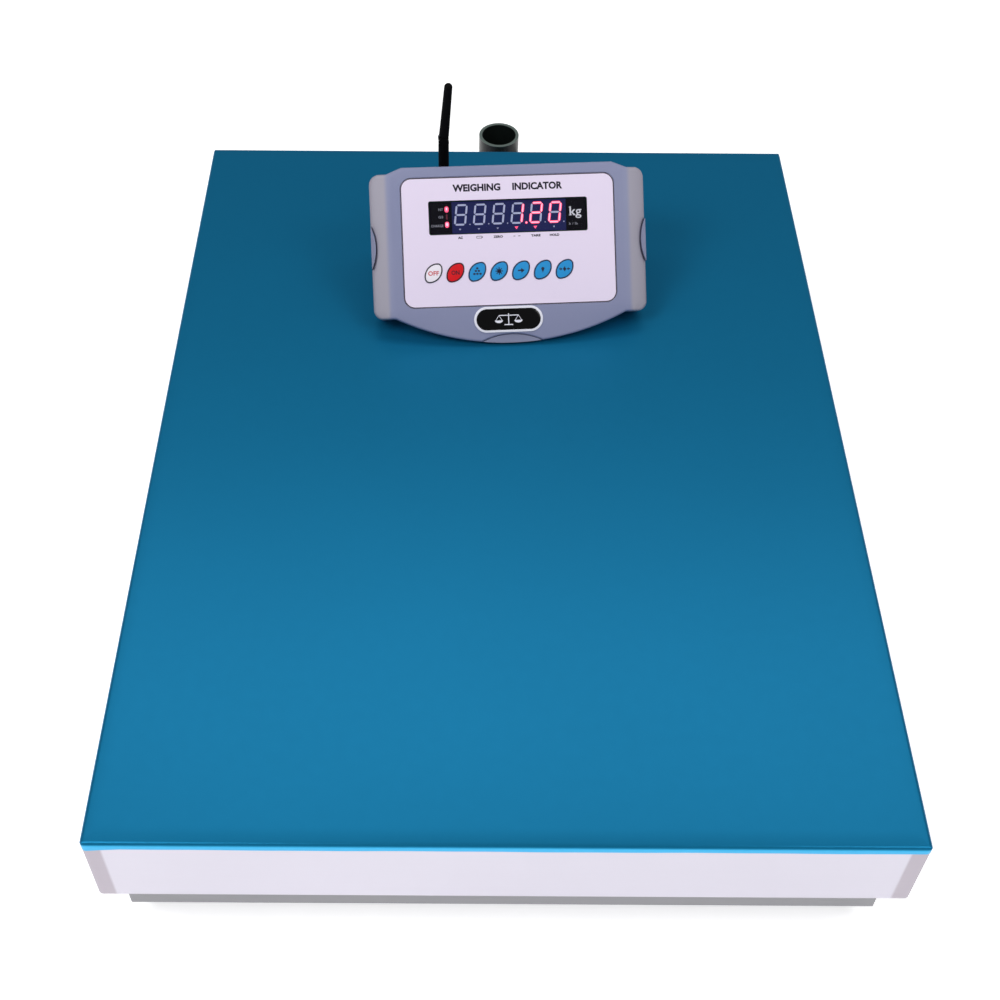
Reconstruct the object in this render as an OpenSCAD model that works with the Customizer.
// Pallet scale: a low weighing platform with a lift-off stainless pan, a loose desk-top
// indicator standing on the pan, and a pole socket behind the platform.
// Origin: on the floor, under the middle of the whole scale. +Y points to the pole socket.

/* [Pan] */
// Width of the pan across the front
pan_w = 600; // [500:5:800]
// Length of the pan from front to rear
pan_l = 800; // [600:5:1000]
// Thickness of the pan's stainless sheet
pan_t = 1.5; // [1:0.1:3]
// Height of the pan's folded skirt, over all
skirt_h = 77; // [60:1:90]
// Outer radius of the bend between the top and the skirt
bend_r = 3; // [2:0.5:6]
// Radius of the pan's upright corners
corner_r = 4; // [3.5:0.5:12]
// Thickness of the protective film
film_t = 0.2; // [0.1:0.05:0.5]
// How far the film wraps down the skirt
film_drop = 7; // [4:0.5:20]

/* [Frames] */
// Clear height under the base frame
ground_gap = 18; // [16:1:30]
// Height from the floor to the top of the pan
deck_h = 144; // [138:1:175]
// How far the base frame stands in from the pan's outside
base_setback = 15; // [12:1:40]
// Side of the base frame's square tube
base_rail = 40; // [30:1:45]
// Wall of the base frame's tube
base_wall = 2.5; // [2:0.5:4]
// Gap between the upper frame and the inside of the skirt
upper_gap = 3.5; // [2:0.5:10]
// Side of the upper frame's square tube
upper_rail = 35; // [25:1:40]
// Wall of the upper frame's tube
upper_wall = 2; // [1.5:0.5:4]
// Thickness of the rubber pads under the pan
pad_t = 3.5; // [2:0.5:8]
// Diameter of the rubber pads under the pan
pad_d = 26; // [16:1:32]

/* [Load cell] */
// Length of the load cell, front to rear
cell_l = 150; // [130:1:200]
// Width of the load cell
cell_w = 50; // [40:1:80]
// How far each cell beam reaches past the ends of the cell
beam_margin = 7; // [4:1:40]
// Thickness of each beam's web
web_t = 6; // [4:0.5:10]
// Thickness of each beam's flanges
flange_t = 4; // [3:0.5:8]
// Depth of the lower beam's flanges below its web
lower_flange = 26; // [15:1:32]
// Thickness of the spacers on each side of the cell
cell_spacer = 3; // [2:0.5:6]
// Diameter of the load cell's bolts
cell_bolt_d = 8; // [6:1:10]
// Depth of the tapped holes in the cell
tap_depth = 18; // [10:1:18]
// Radius of the two weakening holes in the cell
bone_r = 10; // [8:0.5:12]
// Distance between the two weakening holes
bone_pitch = 26; // [20:1:28]

/* [Feet and stops] */
// Diameter of the levelling studs
stud_d = 12; // [10:1:16]
// Diameter of the rubber foot pads
foot_d = 44; // [34:1:50]
// Height of the rubber foot pads
foot_h = 10; // [8:0.5:11]
// Height of the levelling studs above the pads
stud_h = 52; // [40:1:60]
// Distance from the inside of the base frame to each foot
foot_inset = 32; // [28:1:45]
// Leg length of the corner plates that carry the feet
gusset = 100; // [90:1:140]
// Thickness of the corner plates
gusset_t = 6; // [4:1:10]
// Gap over each overload stop
stop_gap = 0.8; // [0.7:0.1:2]
// Diameter of the overload stops
stop_d = 10; // [8:1:12]
// Distance of the overload stops from the ends of the base frame
stop_inset = 120; // [110:5:200]

/* [Pole socket] */
// Outside diameter of the socket tube
socket_od = 42.4; // [38:0.1:50]
// Inside diameter of the socket tube
socket_id = 36; // [30:0.1:42]
// Distance from the rear of the pan to the middle of the tube
socket_back = 28.3; // [27:0.1:60]
// Sideways place of the tube
socket_x = 2.5; // [-60:0.5:60]
// Thickness of the socket bracket's plates
bracket_t = 5; // [4:0.5:8]
// Width of the socket bracket along the rear rail
bracket_w = 110; // [90:1:160]
// Height of the clamp screw above the floor
clamp_z = 94; // [85:1:110]
// Diameter of the clamp screw
clamp_d = 10; // [8:1:12]
// Diameter of the clamp knob
knob_d = 34; // [28:1:45]

/* [Indicator case] */
// Width of the indicator over its side grips
case_w = 254; // [244:1:300]
// Angle between the indicator's face and the deck
face_tilt = 45; // [42:1:50]
// Distance from the middle of the panel to the top of the case, along the face
case_up = 69.5; // [68:0.5:90]
// Distance from the middle of the panel to the lowest lip, along the face
case_down = 94; // [90:0.5:110]
// Depth of the front housing, square to the face
front_depth = 24; // [20:0.5:26]
// Distance from under the middle of the panel to the rear wall
case_rear = 75; // [74:1:90]
// Wall of both housings
case_wall = 2.5; // [2:0.1:3]
// How far the rear housing stands in from the front housing
rear_step = 3; // [2:0.5:6]
// Height of the rubber feet under the indicator
case_foot = 2; // [1.8:0.1:4]
// Sideways place of the indicator on the deck
case_x = 8; // [-40:1:40]
// Distance from the front of the pan to under the middle of the panel
case_y = 570; // [120:5:600]
// Turn of the indicator on the deck
case_turn = 3.5; // [-20:0.5:20]

/* [Indicator panel] */
// Width of the front panel overlay
panel_w = 197; // [190:1:212]
// Height of the front panel overlay
panel_l = 119; // [110:1:122]
// Corner radius of the overlay
panel_r = 10; // [4:0.5:15]
// Thickness of the overlay
panel_t = 0.8; // [0.5:0.1:1]
// Depth of the recess that holds the overlay
recess = 1.2; // [1.1:0.1:1.5]
// Width of the display window
window_w = 146.5; // [140:0.5:160]
// Height of the display window
window_l = 31; // [28:0.5:34]
// Height of the window's middle above the panel's middle
window_v = 22.5; // [20:0.5:26]
// Distance between neighbouring digits
digit_pitch = 17.4; // [16:0.1:19]
// Long way across a key
key_l = 20.4; // [16:0.2:21]
// Short way across a key
key_w = 14; // [10:0.2:15]
// Slant of a key's long axis
key_slant = 50; // [40:1:60]
// Distance between neighbouring keys
key_pitch = 20.2; // [19.5:0.1:24]
// Height of the row of keys, from the panel's middle
key_v = -27.8; // [-36:0.2:-20]
// Sideways place of the first key, from the panel's middle
key_u = -70.7; // [-72:0.1:-60]
// Width of the badge
badge_w = 64; // [50:1:80]
// Height of the badge
badge_l = 24; // [16:1:26]

/* [Antenna] */
// Sideways place of the antenna on the rear wall
antenna_x = -56; // [-60:1:-40]
// Height of the antenna's jack above the deck
jack_z = 84; // [82:1:86]
// Height of the antenna's elbow joint above the deck
knuckle_z = 119; // [112:1:130]
// Length of the whip above the joint
whip_l = 62; // [40:1:120]
// Lean of the whip to the right
whip_lean = 4.7; // [0:0.1:20]
// Diameter of the antenna's sleeve
sleeve_d = 10; // [9:0.5:14]
// Diameter of the whip at its tip
tip_d = 7.6; // [5:0.2:9]

/* [Hidden] */
$fn = 64;

// Small overlap that lets a cutting solid pass a face.
eps = 0.5;
// Radial clearance of a thread or a running shaft in its hole.
run_gap = 0.05;

// The platform, from the floor up.
pan_shift = (socket_back + socket_od / 2 - film_t) / 2;
base_w = pan_w - 2 * base_setback;
base_l = pan_l - 2 * base_setback;
base_top = ground_gap + base_rail;
upper_w = pan_w - 2 * pan_t - 2 * upper_gap;
upper_l = pan_l - 2 * pan_t - 2 * upper_gap;
upper_top = deck_h - pan_t - pad_t;
upper_bottom = upper_top - upper_rail;
cell_bottom = base_top + cell_spacer;
cell_top = upper_bottom - cell_spacer;
cell_h = cell_top - cell_bottom;
beam_w = cell_l + 2 * beam_margin;
deck_top = deck_h + film_t;
socket_y = pan_l / 2 + socket_back;

// The cell's bolt pattern and its ends.
cell_end = cell_l / 3;
bolt_dx = cell_w * 0.3;
bolt_dy = cell_end / 4;
bolt_head_h = cell_bolt_d;
bolt_head_r = cell_bolt_d * 0.81;

// The feet: hexagons across their corners, by the usual ratio to the thread.
hex_ratio = 0.91;
foot_x = base_w / 2 - base_rail - foot_inset;
foot_y = base_l / 2 - base_rail - foot_inset;
foot_hex_h = 4.8;
nut_ratio = 0.8;
stop_x = (base_w + upper_w - 2 * upper_rail) / 4;
stop_y = base_l / 2 - stop_inset;
journal_r = stud_d * 0.4;
journal_floor = 3;

// The clamp screw, measured out from the socket tube's axis.
boss_len = 10;
tip_rest = socket_id / 2 + 0.5;
tip_len = 6;
knob_in = socket_od / 2 + boss_len + 2.8;
knob_t = 15;

// The indicator: heights above the deck, and depths square to its face.
tray_t = 2;
tray_top = case_foot + tray_t;
face_h = case_down * sin(face_tilt) + tray_top;
wing_up = 64;
wing_down = 68.5;
wing_r = 9;
crest_w = 194;
shoulder_w = 222;
arc_half = 107;
arc_rise = case_down - wing_down;
arc_r = (arc_half * arc_half + arc_rise * arc_rise) / (2 * arc_rise);
scallop_depth = 4.7;
scallop_r = 47;
scallop_v = -2.7;
lip_scallop_depth = 8.2;
lip_scallop_r = 64;
tongue_gap = 0.4;
tongue_drop = 1.2;
tongue_root = 6;
skin = recess + 2.4;
fit_gap = 0.3;
window_t = 2;
window_lip = 1.5;
board_t = 1.6;
board_w = -11;
digit_h = 6.4;
digit_l = 22.8;
digit_v = 25;
digit_u0 = -2.5 * digit_pitch;
led_u = -56.5;
led_pitch = 7;
led_v = 23.3;
key_t = 1.9;
key_top = -0.1;
switch_gap = 0.6;
case_plan_r = 12;
post_x = case_w / 2 - 23;
post_y = [-12, 54];
post_r = 4;
main_z = tray_top + 5;
main_size = [120, 66];
main_at = [-10, -5];
main_pillars = [for (sx = [-1, 1], sy = [-1, 1])
    main_at + [sx * (main_size[0] / 2 - 10), sy * (main_size[1] / 2 - 6)]];
pillar_r = 3;
screw_head_t = 1.4;
screw_head_r = 2.6;
case_screw_r = 1.5;
case_foot_x = 96;
case_foot_y = [-22, 62];
case_foot_r = 6.5;
connector_z = 34;
cell_socket_x = 25;
cell_socket_r = 8;
mains_x = 62;
mains_size = [21, 16];
pin_pitch = 8.6;
jack_r = 3.2;
battery_size = [100, 33, 60];
battery_at = [-94, 37];
core_size = [45, 38, 34];
core_at = [57, 8];
core_foot = [57, 24, 12];
antenna_y = case_rear + 15;
knuckle_slot = 4.2;
knuckle_pin_r = 1.5;
tongue_r = 4.4;

// ---- shared shapes -------------------------------------------------------------

// Rectangle with round corners, about the origin.
module rounded_rect(w, l, r) {
    square([w - 2 * r, l], center = true);
    square([w, l - 2 * r], center = true);
    for (sx = [-1, 1], sy = [-1, 1])
        translate([sx * (w / 2 - r), sy * (l / 2 - r)]) circle(r);
}

// Section of a folded tray, standing on y = 0, with its two upper corners bent.
module bent_section(w, h, r) {
    translate([-w / 2, 0]) square([w, h - r]);
    translate([r - w / 2, 0]) square([w - 2 * r, h]);
    for (s = [-1, 1]) translate([s * (w / 2 - r), h - r]) circle(r);
}

// Solid of a sheet tray turned upside down: bent top edges and round upright corners.
module folded_block(w, l, h, bend, corner) {
    intersection() {
        linear_extrude(h) rounded_rect(w, l, corner);
        translate([0, l / 2, 0]) rotate([90, 0, 0]) linear_extrude(l) bent_section(w, h, bend);
        translate([-w / 2, 0, 0]) rotate([90, 0, 90]) linear_extrude(w) bent_section(l, h, bend);
    }
}

// Square tube along X with mitred ends, outer face on y = 0.
module mitred_tube(len, side, wall) {
    difference() {
        linear_extrude(side)
            polygon([[-len / 2, 0], [len / 2, 0], [len / 2 - side, side], [side - len / 2, side]]);
        translate([-len / 2, wall, wall]) cube([len, side - 2 * wall, side - 2 * wall]);
    }
}

// One side of a mitred frame: turn 0 is the front, 90 the right, 180 the rear, 270 the left.
module frame_side(turn, w, l, side, wall, z) {
    across = turn % 180 == 0;
    translate([0, -pan_shift, z]) rotate([0, 0, turn])
        translate([0, -(across ? l : w) / 2, 0]) mitred_tube(across ? w : l, side, wall);
}

// Moves its children to the middle of the pan, on the floor.
module at_pan() { translate([0, -pan_shift, 0]) children(); }

// Hexagon nut or head, with an optional round hole.
module hexagon(r, h, hole = 0) {
    difference() {
        cylinder(h = h, r = r, $fn = 6);
        if (hole > 0) translate([0, 0, -eps]) cylinder(h = h + 2 * eps, r = hole);
    }
}

// ---- platform ------------------------------------------------------------------

module pan() {
    color("gainsboro") at_pan() difference() {
        translate([0, 0, deck_h - skirt_h]) folded_block(pan_w, pan_l, skirt_h, bend_r, corner_r);
        translate([0, 0, deck_h - skirt_h - eps])
            folded_block(pan_w - 2 * pan_t, pan_l - 2 * pan_t, skirt_h - pan_t + eps,
                bend_r - pan_t, corner_r - pan_t);
    }
}

module protective_film() {
    color("steelblue") at_pan() translate([0, 0, deck_h - film_drop]) difference() {
        folded_block(pan_w + 2 * film_t, pan_l + 2 * film_t, film_drop + film_t,
            bend_r + film_t, corner_r + film_t);
        translate([0, 0, -eps]) folded_block(pan_w, pan_l, film_drop + eps, bend_r, corner_r);
    }
}

module pan_pads() {
    px = (upper_w - upper_rail) / 2;
    py = (upper_l - upper_rail) / 2;
    color("black") at_pan() for (x = [-px, px], y = [-py, 0, py])
        translate([x, y, upper_top]) cylinder(h = pad_t, d = pad_d);
}

module upper_rail_front() {
    color("slategray") frame_side(0, upper_w, upper_l, upper_rail, upper_wall, upper_bottom);
}

module upper_rail_right() {
    color("slategray") frame_side(90, upper_w, upper_l, upper_rail, upper_wall, upper_bottom);
}

module upper_rail_rear() {
    color("slategray") frame_side(180, upper_w, upper_l, upper_rail, upper_wall, upper_bottom);
}

module upper_rail_left() {
    color("slategray") frame_side(270, upper_w, upper_l, upper_rail, upper_wall, upper_bottom);
}

// Moves its children to the four bolts at one end of the load cell.
module at_cell_bolts(end) {
    at_pan() for (x = [-bolt_dx, bolt_dx], y = [-bolt_dy, bolt_dy])
        translate([x, end * (cell_l - cell_end) / 2 + y, 0]) children();
}

// Channel across a frame: a web that carries the cell and two flanges.
module cell_beam(span, web_z, flange_z, flange_len, spacer_z, end) {
    difference() {
        at_pan() union() {
            translate([-span / 2, -beam_w / 2, web_z]) cube([span, beam_w, web_t]);
            for (s = [-1, 1])
                translate([-span / 2, s * (beam_w - flange_t) / 2 - flange_t / 2, flange_z])
                    cube([span, flange_t, flange_len]);
            translate([-cell_w / 2, end * (cell_l - cell_end) / 2 - cell_end / 2, spacer_z])
                cube([cell_w, cell_end, cell_spacer]);
        }
        at_cell_bolts(end) translate([0, 0, base_top - deck_h])
            cylinder(h = 2 * deck_h, r = cell_bolt_d / 2 + run_gap);
    }
}

module upper_cell_beam() {
    color("slategray") cell_beam(upper_w - 2 * upper_rail, upper_bottom, upper_bottom,
        upper_rail, cell_top, -1);
}

module lower_cell_beam() {
    color("slategray") cell_beam(base_w - 2 * base_rail, base_top - web_t,
        base_top - lower_flange, lower_flange, base_top, 1);
}

// Socket-head bolt standing on its head, head down.
module cell_bolt(reach) {
    difference() {
        union() {
            translate([0, 0, -bolt_head_h]) cylinder(h = bolt_head_h, r = bolt_head_r);
            cylinder(h = reach, d = cell_bolt_d);
        }
        translate([0, 0, -bolt_head_h - eps])
            cylinder(h = bolt_head_h / 2 + eps, r = cell_bolt_d * 0.43, $fn = 6);
    }
}

module cell_bolts_lower() {
    reach = web_t + cell_spacer + tap_depth - 2;
    color("dimgray") at_cell_bolts(1) translate([0, 0, base_top - web_t]) cell_bolt(reach);
}

module cell_bolts_upper() {
    reach = web_t + cell_spacer + tap_depth - 2;
    color("dimgray") at_cell_bolts(-1) translate([0, 0, upper_bottom + web_t])
        rotate([180, 0, 0]) cell_bolt(reach);
}

module load_cell() {
    color("silver") difference() {
        at_pan() translate([-cell_w / 2, -cell_l / 2, cell_bottom]) cube([cell_w, cell_l, cell_h]);
        at_pan() translate([-cell_w / 2 - eps, 0, (cell_bottom + cell_top) / 2]) {
            for (s = [-1, 1]) translate([0, s * bone_pitch / 2, 0]) rotate([0, 90, 0])
                cylinder(h = cell_w + 2 * eps, r = bone_r);
            translate([0, -bone_pitch / 2, -bone_r / 2]) cube([cell_w + 2 * eps, bone_pitch, bone_r]);
        }
        at_cell_bolts(1) translate([0, 0, cell_bottom - eps])
            cylinder(h = tap_depth + eps, r = cell_bolt_d / 2 + run_gap);
        at_cell_bolts(-1) translate([0, 0, cell_top - tap_depth])
            cylinder(h = tap_depth + eps, r = cell_bolt_d / 2 + run_gap);
    }
}

module base_rail_front() {
    color("darkgray") frame_side(0, base_w, base_l, base_rail, base_wall, ground_gap);
}

// Moves its children to the overload stops on one side: -1 is the left, 1 the right.
module at_stops(side) {
    at_pan() for (y = [-stop_y, stop_y]) translate([side * stop_x, y, base_top]) children();
}

module stop_holes(side) {
    at_stops(side) translate([0, 0, -base_wall - eps])
        cylinder(h = base_wall + 2 * eps, r = stop_d / 2 + run_gap);
}

module base_rail_right() {
    color("darkgray") difference() {
        frame_side(90, base_w, base_l, base_rail, base_wall, ground_gap);
        stop_holes(1);
    }
}

module base_rail_left() {
    color("darkgray") difference() {
        frame_side(270, base_w, base_l, base_rail, base_wall, ground_gap);
        stop_holes(-1);
    }
}

gland_x = 150;
gland_r = 6;
gland_z = ground_gap + base_rail / 2;

module base_rail_rear() {
    color("darkgray") difference() {
        frame_side(180, base_w, base_l, base_rail, base_wall, ground_gap);
        at_pan() translate([gland_x, base_l / 2 + eps, gland_z]) rotate([90, 0, 0])
            cylinder(h = base_rail + 2 * eps, r = gland_r + run_gap);
    }
}

module cable_gland() {
    bore_r = 3;
    thread_len = 9;
    color("black") at_pan() translate([gland_x, base_l / 2, gland_z]) rotate([-90, 0, 0])
        difference() {
            union() {
                translate([0, 0, -thread_len]) cylinder(h = thread_len, r = gland_r);
                hexagon(9.2, 5);
                translate([0, 0, 5]) cylinder(h = 3, r = 7);
                translate([0, 0, 8]) hexagon(8.6, 8);
                translate([0, 0, 16]) cylinder(h = 4, r1 = 7, r2 = 4.5);
            }
            translate([0, 0, -thread_len - eps]) cylinder(h = thread_len + 20 + 2 * eps, r = bore_r);
        }
}

// Moves its children to one foot: sx -1 is the left, sy -1 the front.
module at_foot(sx, sy) { at_pan() translate([sx * foot_x, sy * foot_y, 0]) children(); }

module foot_plates() {
    color("darkgray") difference() {
        at_pan() for (sx = [-1, 1], sy = [-1, 1])
            translate([sx * (base_w / 2 - base_rail), sy * (base_l / 2 - base_rail), ground_gap])
                linear_extrude(gusset_t)
                    polygon([[0, 0], [-sx * gusset, 0], [0, -sy * gusset]]);
        for (sx = [-1, 1], sy = [-1, 1]) at_foot(sx, sy) translate([0, 0, ground_gap - eps])
            cylinder(h = gusset_t + 2 * eps, r = stud_d / 2 + run_gap);
    }
}

module locknuts() {
    color("silver") {
        for (sx = [-1, 1], sy = [-1, 1]) at_foot(sx, sy) translate([0, 0, ground_gap + gusset_t])
            hexagon(stud_d * hex_ratio, stud_d * nut_ratio, stud_d / 2 + run_gap);
        for (side = [-1, 1]) at_stops(side)
            hexagon(stop_d * hex_ratio, stop_d * nut_ratio, stop_d / 2 + run_gap);
    }
}

module overload_stops() {
    below = base_rail / 3;
    color("silver") for (side = [-1, 1]) at_stops(side) translate([0, 0, -below])
        cylinder(h = below + upper_bottom - base_top - stop_gap, d = stop_d);
}

module foot_pad(sx, sy) {
    taper = foot_h * 0.3;
    color("black") at_foot(sx, sy) difference() {
        union() {
            cylinder(h = foot_h - taper, d = foot_d);
            translate([0, 0, foot_h - taper]) cylinder(h = taper, d1 = foot_d, d2 = foot_d * 0.7);
        }
        translate([0, 0, journal_floor - 2 * run_gap])
            cylinder(h = foot_h, r = journal_r + run_gap);
    }
}

module foot_pad_fl() { foot_pad(-1, -1); }
module foot_pad_fr() { foot_pad(1, -1); }
module foot_pad_rl() { foot_pad(-1, 1); }
module foot_pad_rr() { foot_pad(1, 1); }

module foot_stud(sx, sy) {
    color("silver") at_foot(sx, sy) {
        translate([0, 0, journal_floor]) cylinder(h = foot_h, r = journal_r);
        translate([0, 0, foot_h + 0.2]) hexagon(stud_d * hex_ratio, foot_hex_h);
        translate([0, 0, foot_h + 1]) cylinder(h = stud_h, d = stud_d);
    }
}

module foot_stud_fl() { foot_stud(-1, -1); }
module foot_stud_fr() { foot_stud(1, -1); }
module foot_stud_rl() { foot_stud(-1, 1); }
module foot_stud_rr() { foot_stud(1, 1); }

level_r = 16;
level_h = 9;
lens_r = 12;
lens_t = 3;

// Moves its children to the round spirit level, on the left rail near the front.
module at_level() {
    at_pan() translate([base_rail / 2 - base_w / 2, stop_y - base_l / 2 + 20, base_top]) children();
}

module spirit_level() {
    color("dimgray") at_level() difference() {
        cylinder(h = level_h, r = level_r);
        translate([0, 0, level_h - lens_t - 3]) cylinder(h = 3 + lens_t + eps, r = lens_r);
    }
}

module level_lens() {
    color("palegreen") at_level() translate([0, 0, level_h - lens_t - 3])
        cylinder(h = lens_t + 3, r = lens_r - run_gap);
}

// ---- pole socket ---------------------------------------------------------------

// Moves its children to the axis of the socket tube, on the floor.
module at_socket() { at_pan() translate([socket_x, socket_y, 0]) children(); }

socket_floor_z = ground_gap + 2 + bracket_t;
boss_r = clamp_d * 0.9;

module pole_socket() {
    color("darkslategray") at_socket() difference() {
        union() {
            translate([0, 0, socket_floor_z]) cylinder(h = deck_h - socket_floor_z, d = socket_od);
            translate([0, 0, clamp_z]) rotate([0, 90, 0])
                cylinder(h = socket_od / 2 + boss_len, r = boss_r);
        }
        translate([0, 0, socket_floor_z - eps])
            cylinder(h = deck_h - socket_floor_z + 2 * eps, d = socket_id);
        translate([0, 0, clamp_z]) rotate([0, 90, 0])
            cylinder(h = socket_od + boss_len, r = clamp_d / 2 + run_gap);
    }
}

module socket_bracket() {
    top = base_top - 2;
    low = ground_gap + 2;
    rail_y = base_l / 2;
    arm = socket_y - rail_y;
    color("darkslategray") at_pan() difference() {
        union() {
            translate([socket_x - bracket_w / 2, rail_y, low]) cube([bracket_w, bracket_t, top - low]);
            translate([socket_x - socket_od / 2 - bracket_t, rail_y, low])
                cube([socket_od + 2 * bracket_t, arm + socket_od / 2, bracket_t]);
            for (s = [-1, 1]) translate([socket_x + s * (socket_od + bracket_t) / 2 - bracket_t / 2,
                rail_y, low]) cube([bracket_t, arm, top - low]);
        }
        translate([socket_x, socket_y, low - eps]) cylinder(h = bracket_t + 2 * eps, r = 4);
    }
}

module clamp_tip() {
    color("ivory") at_socket() translate([tip_rest, 0, clamp_z]) rotate([0, 90, 0])
        cylinder(h = tip_len, r = clamp_d / 2);
}

module clamp_knob() {
    lobes = 5;
    color("black") at_socket() translate([0, 0, clamp_z]) rotate([0, 90, 0]) {
        translate([0, 0, tip_rest + tip_len + run_gap])
            cylinder(h = knob_in - tip_rest - tip_len + eps, r = clamp_d / 2);
        translate([0, 0, knob_in]) difference() {
            cylinder(h = knob_t, d = knob_d);
            for (i = [0 : lobes - 1]) rotate([0, 0, i * 360 / lobes])
                translate([knob_d * 0.62, 0, -eps]) cylinder(h = knob_t + 2 * eps, r = knob_d * 0.22);
        }
    }
}

// ---- indicator -----------------------------------------------------------------

// Moves its children onto the deck, under the middle of the indicator's panel.
module at_case() {
    translate([case_x, case_y - pan_l / 2 - pan_shift, deck_top]) rotate([0, 0, case_turn]) children();
}

// Moves its children onto the indicator's sloping face: x right, y up the face, z out of it.
module on_face() { translate([0, 0, face_h]) rotate([face_tilt, 0, 0]) children(); }

// Outline of the case seen square to its face, drawn in by a distance.
module case_outline(in) {
    translate([0, (wing_up - wing_down) / 2])
        rounded_rect(case_w - 2 * in, wing_up + wing_down - 2 * in, wing_r - in);
    polygon([[in - crest_w / 2, case_up - in], [crest_w / 2 - in, case_up - in],
        [shoulder_w / 2 - in, wing_up - in], [shoulder_w / 2 - in, 0],
        [in - shoulder_w / 2, 0], [in - shoulder_w / 2, wing_up - in]]);
    intersection() {
        translate([0, arc_r - case_down]) circle(arc_r - in, $fn = 256);
        translate([in - arc_half, -case_down]) square([2 * (arc_half - in), case_down]);
    }
}

// The finger hollows at both sides and the lip, grown by a distance.
module scallops(grow) {
    for (s = [-1, 1]) translate([s * (case_w / 2 - scallop_depth + scallop_r), scallop_v])
        circle(scallop_r + grow, $fn = 128);
    translate([0, lip_scallop_depth - case_down - lip_scallop_r])
        circle(lip_scallop_r + grow, $fn = 128);
}

// Everything above a height over the deck and in front of a plane near the rear wall.
module case_room(low, rear, in) {
    reach = 2 * case_w;
    width = case_w - 2 * rear_step - 2 * in;
    translate([0, 0, low]) linear_extrude(reach) translate([0, rear - reach / 2])
        rounded_rect(width, reach, case_plan_r - in);
}

// Slab along the sloping face between two depths.
module face_slab(from, to) { on_face() translate([0, 0, from]) linear_extrude(to - from) children(); }

// Oval from four arcs that meet smoothly.
module oval(a, b) {
    end_r = b * 0.62;
    side_r = ((a - end_r) * (a - end_r) + b * b - end_r * end_r) / (2 * (b - end_r));
    meet = (a - end_r) * side_r / (side_r - end_r);
    for (s = [-1, 1]) translate([s * (a - end_r), 0]) circle(end_r);
    intersection() {
        for_sides(side_r, b, 1);
        for_sides(side_r, b, -1);
        square([2 * meet, 4 * b], center = true);
    }
}

module for_sides(side_r, b, s) { translate([0, s * (b - side_r)]) circle(side_r, $fn = 128); }

// Outline of one key of the row, grown by a distance.
module key_shape(i, grow) {
    translate([key_u + i * key_pitch, key_v]) rotate(key_slant)
        oval(key_l / 2 + grow, key_w / 2 + grow);
}

module window_shape(grow) {
    translate([0, window_v]) rounded_rect(window_w + 2 * grow, window_l + 2 * grow, 2 + grow);
}

module case_posts() {
    difference() {
        intersection() {
            for (x = [-post_x, post_x], y = post_y) translate([x, y, tray_top])
                cylinder(h = 2 * face_h, r = post_r);
            face_slab(-2 * case_w, -skin + eps) case_outline(case_wall - 0.2);
            case_room(0, case_rear - case_wall - 0.2, case_wall);
        }
        for (x = [-post_x, post_x], y = post_y) translate([x, y, 0])
            cylinder(h = tray_top + 14, r = case_screw_r + run_gap);
    }
}

board_bosses = [[-84, 44], [84, 44], [-84, -44], [84, -44]];

module front_housing() {
    color("lightslategray") at_case() {
        difference() {
            face_slab(-front_depth, 0) difference() {
                case_outline(0);
                scallops(0);
            }
            face_slab(-front_depth - eps, -skin) difference() {
                case_outline(case_wall);
                scallops(case_wall);
            }
            face_slab(-recess, eps) rounded_rect(panel_w + 2 * fit_gap, panel_l + 2 * fit_gap,
                panel_r + fit_gap);
            face_slab(-recess - window_t + panel_t - run_gap, 0) window_shape(run_gap);
            face_slab(-skin - eps, 0) window_shape(-window_lip);
            face_slab(-skin - eps, 0) for (i = [0 : 6]) key_shape(i, fit_gap);
            translate([-case_w, -case_w, tray_top - 2 * case_w]) cube(2 * case_w);
        }
        case_posts();
        face_slab(board_w + board_t, -skin + eps) for (p = board_bosses) translate(p)
            difference() {
                circle(3.5);
                circle(1.2);
            }
    }
}

module rear_housing() {
    color("slategray") at_case() difference() {
        union() {
            intersection() {
                face_slab(-2 * case_w, -front_depth) case_outline(rear_step);
                case_room(case_foot, case_rear, 0);
            }
            intersection() {
                face_slab(-2 * case_w, eps) case_outline(rear_step);
                case_room(case_foot, case_rear, 0);
                translate([-case_w, -case_w, tray_top - 2 * case_w]) cube(2 * case_w);
            }
            intersection() {
                face_slab(-front_depth - tongue_root, -tongue_drop) intersection() {
                    case_outline(0);
                    scallops(-tongue_gap);
                }
                translate([-case_w, -case_w, case_foot]) cube(2 * case_w);
            }
            for (p = main_pillars) translate([p[0], p[1], case_foot])
                cylinder(h = main_z - case_foot, r = pillar_r);
        }
        intersection() {
            face_slab(-2 * case_w, -front_depth + eps) case_outline(rear_step + case_wall);
            case_room(tray_top, case_rear - case_wall, case_wall);
            difference() {
                translate([-case_w, -case_w, 0]) cube(2 * case_w);
                for (p = main_pillars) translate(p) cylinder(h = main_z, r = pillar_r);
            }
        }
        for (x = [-post_x, post_x], y = post_y) translate([x, y, 0])
            cylinder(h = tray_top + eps, r = case_screw_r + 0.2);
        rear_hole(antenna_x, jack_z, jack_r + 0.1);
        rear_hole(cell_socket_x, connector_z, cell_socket_r);
        translate([mains_x, case_rear, connector_z])
            cube([mains_size[0], 4 * case_wall, mains_size[1]], center = true);
    }
}

// Round hole through the rear wall.
module rear_hole(x, z, r) {
    translate([x, case_rear + eps, z]) rotate([90, 0, 0]) cylinder(h = case_wall + 2 * eps, r = r);
}

module indicator_feet() {
    color("black") at_case() for (x = [-case_foot_x, case_foot_x], y = case_foot_y)
        translate([x, y, 0]) cylinder(h = case_foot, r = case_foot_r);
}

module overlay() {
    color("lavender") at_case() face_slab(-recess, -recess + panel_t) difference() {
        rounded_rect(panel_w, panel_l, panel_r);
        window_shape(run_gap);
        for (i = [0 : 6]) key_shape(i, fit_gap);
    }
}

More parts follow.
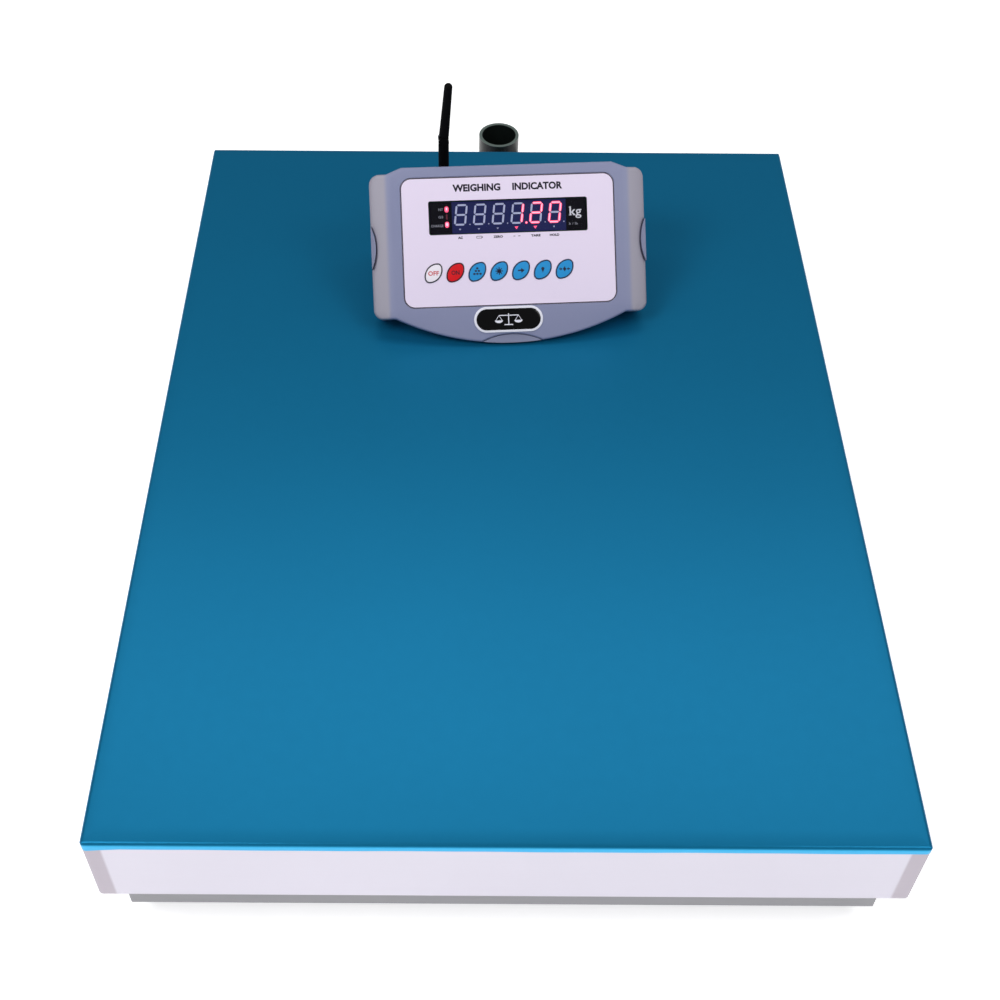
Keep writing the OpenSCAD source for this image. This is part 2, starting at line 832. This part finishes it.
module display_window() {
    color("black") at_case() face_slab(-recess + panel_t - window_t, -recess + panel_t)
        window_shape(0);
}

module led_digits() {
    color("indigo") at_case() face_slab(board_w + board_t, board_w + board_t + digit_h)
        for (i = [0 : 5]) translate([digit_u0 + i * digit_pitch, digit_v])
            square([digit_pitch - 0.3, digit_l], center = true);
}

module status_leds() {
    color("red") at_case() face_slab(board_w + board_t, board_w + board_t + digit_h)
        for (i = [-1 : 1]) translate([led_u, led_v + i * led_pitch])
            square([3, 5], center = true);
}

module display_board() {
    color("darkgreen") at_case() {
        face_slab(board_w, board_w + board_t) difference() {
            square([180, 96], center = true);
            for (p = board_bosses) translate(p) circle(1.25);
        }
        face_slab(board_w + board_t, key_top - key_t - switch_gap)
            for (i = [0 : 6]) translate([key_u + i * key_pitch, key_v]) circle(3);
    }
}

module main_board() {
    processor = [18, 18, 2];
    terminals = [22, 16, 12];
    capacitor_r = 5;
    buzzer_r = 6;
    color("darkgreen") at_case() translate([main_at[0], main_at[1], main_z]) difference() {
        union() {
            translate([-main_size[0] / 2, -main_size[1] / 2, 0])
                cube([main_size[0], main_size[1], board_t]);
            translate([-20, -18, board_t]) cube(processor);
            translate([20, 5, board_t]) cube(terminals);
            for (x = [-46, -30]) translate([x, 18, board_t])
                cylinder(h = terminals[2], r = capacitor_r);
            translate([36, -14, board_t]) cylinder(h = 5, r = buzzer_r);
        }
        for (p = main_pillars) translate([p[0] - main_at[0], p[1] - main_at[1], -eps])
            cylinder(h = board_t + 2 * eps, r = case_screw_r + 0.1);
    }
}

module bluetooth_module() {
    color("royalblue") at_case() translate([-8, -24, main_z + board_t]) cube([16, 13, 2.4]);
}

module battery() {
    color("dimgray") at_case() translate([battery_at[0], battery_at[1], tray_top]) {
        cube(battery_size);
        for (x = [8, 18]) translate([x, 5, battery_size[2]]) cube([5, 5, 3]);
    }
}

module transformer() {
    color("goldenrod") at_case() translate([core_at[0], core_at[1], tray_top]) {
        cube(core_size);
        translate([(core_size[0] - core_foot[0]) / 2, (core_size[1] - core_foot[1]) / 2, 0])
            cube(core_foot);
    }
}

module cell_socket() {
    back_len = 12;
    collar_t = 3;
    nose_len = 7;
    color("silver") at_case() translate([cell_socket_x, case_rear, connector_z]) rotate([-90, 0, 0]) {
        difference() {
            union() {
                translate([0, 0, -back_len]) cylinder(h = back_len, r = cell_socket_r - run_gap);
                cylinder(h = collar_t, r = cell_socket_r + 2.5);
                translate([0, 0, collar_t]) cylinder(h = nose_len, r = cell_socket_r);
            }
            translate([0, 0, 2]) cylinder(h = back_len, r = cell_socket_r - 1.8);
        }
        for (a = [45 : 90 : 315]) rotate([0, 0, a]) translate([3.2, 0, 1]) cylinder(h = 4, r = 0.8);
    }
}

module mains_inlet() {
    rim_t = 2;
    body_len = 14.2;
    well = 9;
    color("black") at_case() translate([mains_x, case_rear, connector_z]) rotate([-90, 0, 0]) {
        difference() {
            union() {
                translate([0, 0, rim_t / 2])
                    cube([mains_size[0] + 6, mains_size[1] + 6, rim_t], center = true);
                translate([0, 0, 0.1 - body_len / 2])
                    cube([mains_size[0] - 0.2, mains_size[1] - 0.2, body_len], center = true);
            }
            translate([0, 0, -well]) linear_extrude(well + 3) {
                square(8, center = true);
                for (s = [-1, 1]) translate([s * pin_pitch / 2, 0]) circle(4);
            }
        }
        for (s = [-1, 1]) translate([s * pin_pitch / 2, 0, -well - 1])
            cylinder(h = well + 1, r = 1.2);
    }
}

// Pan-head screw pointing up, its head under z = 0.
module small_screw(head_r, head_h, shank_r, shank_l) {
    translate([0, 0, -head_h]) difference() {
        cylinder(h = head_h, r = head_r);
        translate([0, 0, -eps]) cylinder(h = head_h / 2 + eps, r = head_r / 3, $fn = 6);
    }
    translate([0, 0, -eps]) cylinder(h = shank_l + eps, r = shank_r);
}

module indicator_screws() {
    color("silver") at_case() {
        for (x = [-post_x, post_x], y = post_y) translate([x, y, case_foot])
            small_screw(2 * case_screw_r, screw_head_t, case_screw_r, 12);
        on_face() for (p = board_bosses) translate([p[0], p[1], board_w])
            small_screw(screw_head_r, screw_head_t, 1.15, 5);
        for (p = main_pillars) translate([p[0], p[1], main_z + board_t])
            cylinder(h = screw_head_t, r = screw_head_r);
    }
}

module badge() {
    pill = badge_w - badge_l;
    color("black") at_case() face_slab(0, 1.2) translate([-3, -72.3]) {
        square([pill, badge_l], center = true);
        for (s = [-1, 1]) translate([s * pill / 2, 0]) circle(badge_l / 2);
    }
}

// One key of the panel, counted from the left.
module key_cap(i) { at_case() face_slab(key_top - key_t, key_top) key_shape(i, 0); }

module key_off() { color("white") key_cap(0); }
module key_on() { color("red") key_cap(1); }
module key_total() { color("deepskyblue") key_cap(2); }
module key_light() { color("deepskyblue") key_cap(3); }
module key_enter() { color("deepskyblue") key_cap(4); }
module key_tare() { color("deepskyblue") key_cap(5); }
module key_zero() { color("deepskyblue") key_cap(6); }

// ---- antenna -------------------------------------------------------------------

// Moves its children to the antenna's jack, on the outside of the rear wall.
module at_jack() { at_case() translate([antenna_x, case_rear, jack_z]) children(); }

module antenna_jack() {
    color("goldenrod") at_jack() rotate([-90, 0, 0]) {
        translate([0, 0, -8]) cylinder(h = 13, r = jack_r);
        hexagon(5.2, 2.2);
        translate([0, 0, -case_wall - 1.6]) hexagon(5.2, 1.6);
    }
}

module antenna_base() {
    back = antenna_y - case_rear;
    rise = knuckle_z - jack_z;
    color("black") at_jack() difference() {
        union() {
            translate([0, 3, 0]) rotate([-90, 0, 0]) cylinder(h = 7, r = 5.2);
            translate([0, 9, 0]) rotate([-90, 0, 0]) cylinder(h = back - 9, r = 4.4);
            translate([0, back, 0]) sphere(sleeve_d / 2);
            translate([0, back, 0]) cylinder(h = rise, d = sleeve_d);
            translate([0, back + sleeve_d / 2, rise]) rotate([90, 0, 0])
                cylinder(h = sleeve_d, r = sleeve_d / 2);
        }
        translate([0, 3 - eps, 0]) rotate([-90, 0, 0]) cylinder(h = 2.6 + eps, r = jack_r + run_gap);
        translate([-sleeve_d, back - knuckle_slot / 2, rise - tongue_r - 0.6])
            cube([2 * sleeve_d, knuckle_slot, 2 * sleeve_d]);
    }
    color("black") at_jack() translate([0, back + sleeve_d / 2, rise]) rotate([90, 0, 0])
        cylinder(h = sleeve_d, r = knuckle_pin_r);
}

module antenna_whip() {
    thick = knuckle_slot - 0.2;
    neck = tongue_r + 1.2;
    color("black") at_case() translate([antenna_x, antenna_y, knuckle_z])
        rotate([0, whip_lean, 0]) difference() {
            union() {
                translate([0, thick / 2, 0]) rotate([90, 0, 0]) cylinder(h = thick, r = tongue_r);
                translate([-tongue_r, -thick / 2, 0]) cube([2 * tongue_r, thick, neck + eps]);
                translate([0, 0, neck]) cylinder(h = whip_l - neck - tip_d / 2,
                    d1 = sleeve_d * 0.94, d2 = tip_d);
                translate([0, 0, whip_l - tip_d / 2]) sphere(d = tip_d);
            }
            translate([0, sleeve_d, 0]) rotate([90, 0, 0])
                cylinder(h = 2 * sleeve_d, r = knuckle_pin_r + run_gap);
        }
}

pan();
protective_film();
pan_pads();
upper_rail_front();
upper_rail_rear();
upper_rail_left();
upper_rail_right();
upper_cell_beam();
cell_bolts_upper();
load_cell();
cell_bolts_lower();
lower_cell_beam();
base_rail_front();
base_rail_rear();
base_rail_left();
base_rail_right();
foot_plates();
locknuts();
overload_stops();
cable_gland();
spirit_level();
level_lens();
pole_socket();
socket_bracket();
clamp_tip();
clamp_knob();
foot_pad_fl();
foot_pad_fr();
foot_pad_rl();
foot_pad_rr();
foot_stud_fl();
foot_stud_fr();
foot_stud_rl();
foot_stud_rr();
front_housing();
rear_housing();
indicator_feet();
overlay();
display_window();
led_digits();
status_leds();
display_board();
main_board();
battery();
transformer();
bluetooth_module();
cell_socket();
mains_inlet();
indicator_screws();
badge();
key_off();
key_on();
key_total();
key_light();
key_enter();
key_tare();
key_zero();
antenna_jack();
antenna_base();
antenna_whip();
